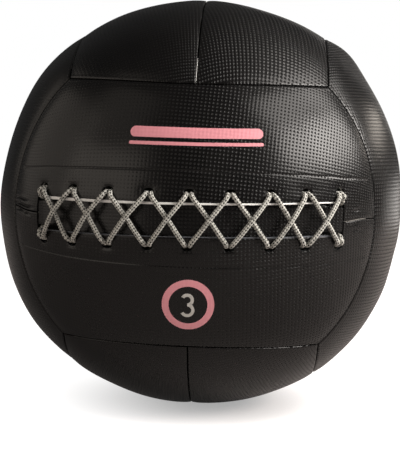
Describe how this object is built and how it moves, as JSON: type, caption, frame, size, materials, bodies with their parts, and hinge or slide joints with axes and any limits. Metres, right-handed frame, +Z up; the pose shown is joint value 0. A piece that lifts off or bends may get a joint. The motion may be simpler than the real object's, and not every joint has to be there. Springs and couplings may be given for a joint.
{
  "type": "wall ball",
  "caption": "Soft-shell wall ball: a round cover of sewn strips with a laced opening, over foam padding, a filled liner bag and a central ballast pouch.",
  "frame": {"origin": "under the ball's centre, on the surface that it stands on", "axes": "+Z up, -Y out through the laced opening, +X to the right as seen facing the lacing"},
  "size_m": [0.3438, 0.3494, 0.3436],
  "materials": {
    "cover": "satin",
    "foam": "matte",
    "facing": "matte",
    "lace": "matte",
    "liner": "matte",
    "filling": "matte",
    "pouch": "matte",
    "ballast": "matte"
  },
  "bodies": {
    "root": {"ballast": "ballast", "ballast_pouch_lower": "pouch", "ballast_pouch_upper": "pouch", "cover_back_lower": "cover", "cover_back_upper": "cover", "cover_bottom_left": "cover", "cover_bottom_right": "cover", "cover_front_lower": "cover", "cover_front_upper": "cover", "cover_left_front": "cover", "cover_left_rear": "cover", "cover_right_front": "cover", "cover_right_rear": "cover", "cover_top_left": "cover", "cover_top_right": "cover", "filling_lower": "filling", "filling_upper": "filling", "lace": "lace", "lace_facing_lower": "facing", "lace_facing_upper": "facing", "liner_lower": "liner", "liner_upper": "liner", "pad_back_lower": "foam", "pad_back_upper": "foam", "pad_bottom_left": "foam", "pad_bottom_right": "foam", "pad_front_lower": "foam", "pad_front_upper": "foam", "pad_left_front": "foam", "pad_left_rear": "foam", "pad_right_front": "foam", "pad_right_rear": "foam", "pad_top_left": "foam", "pad_top_right": "foam", "tongue": "cover"}
  },
  "joints": []
}
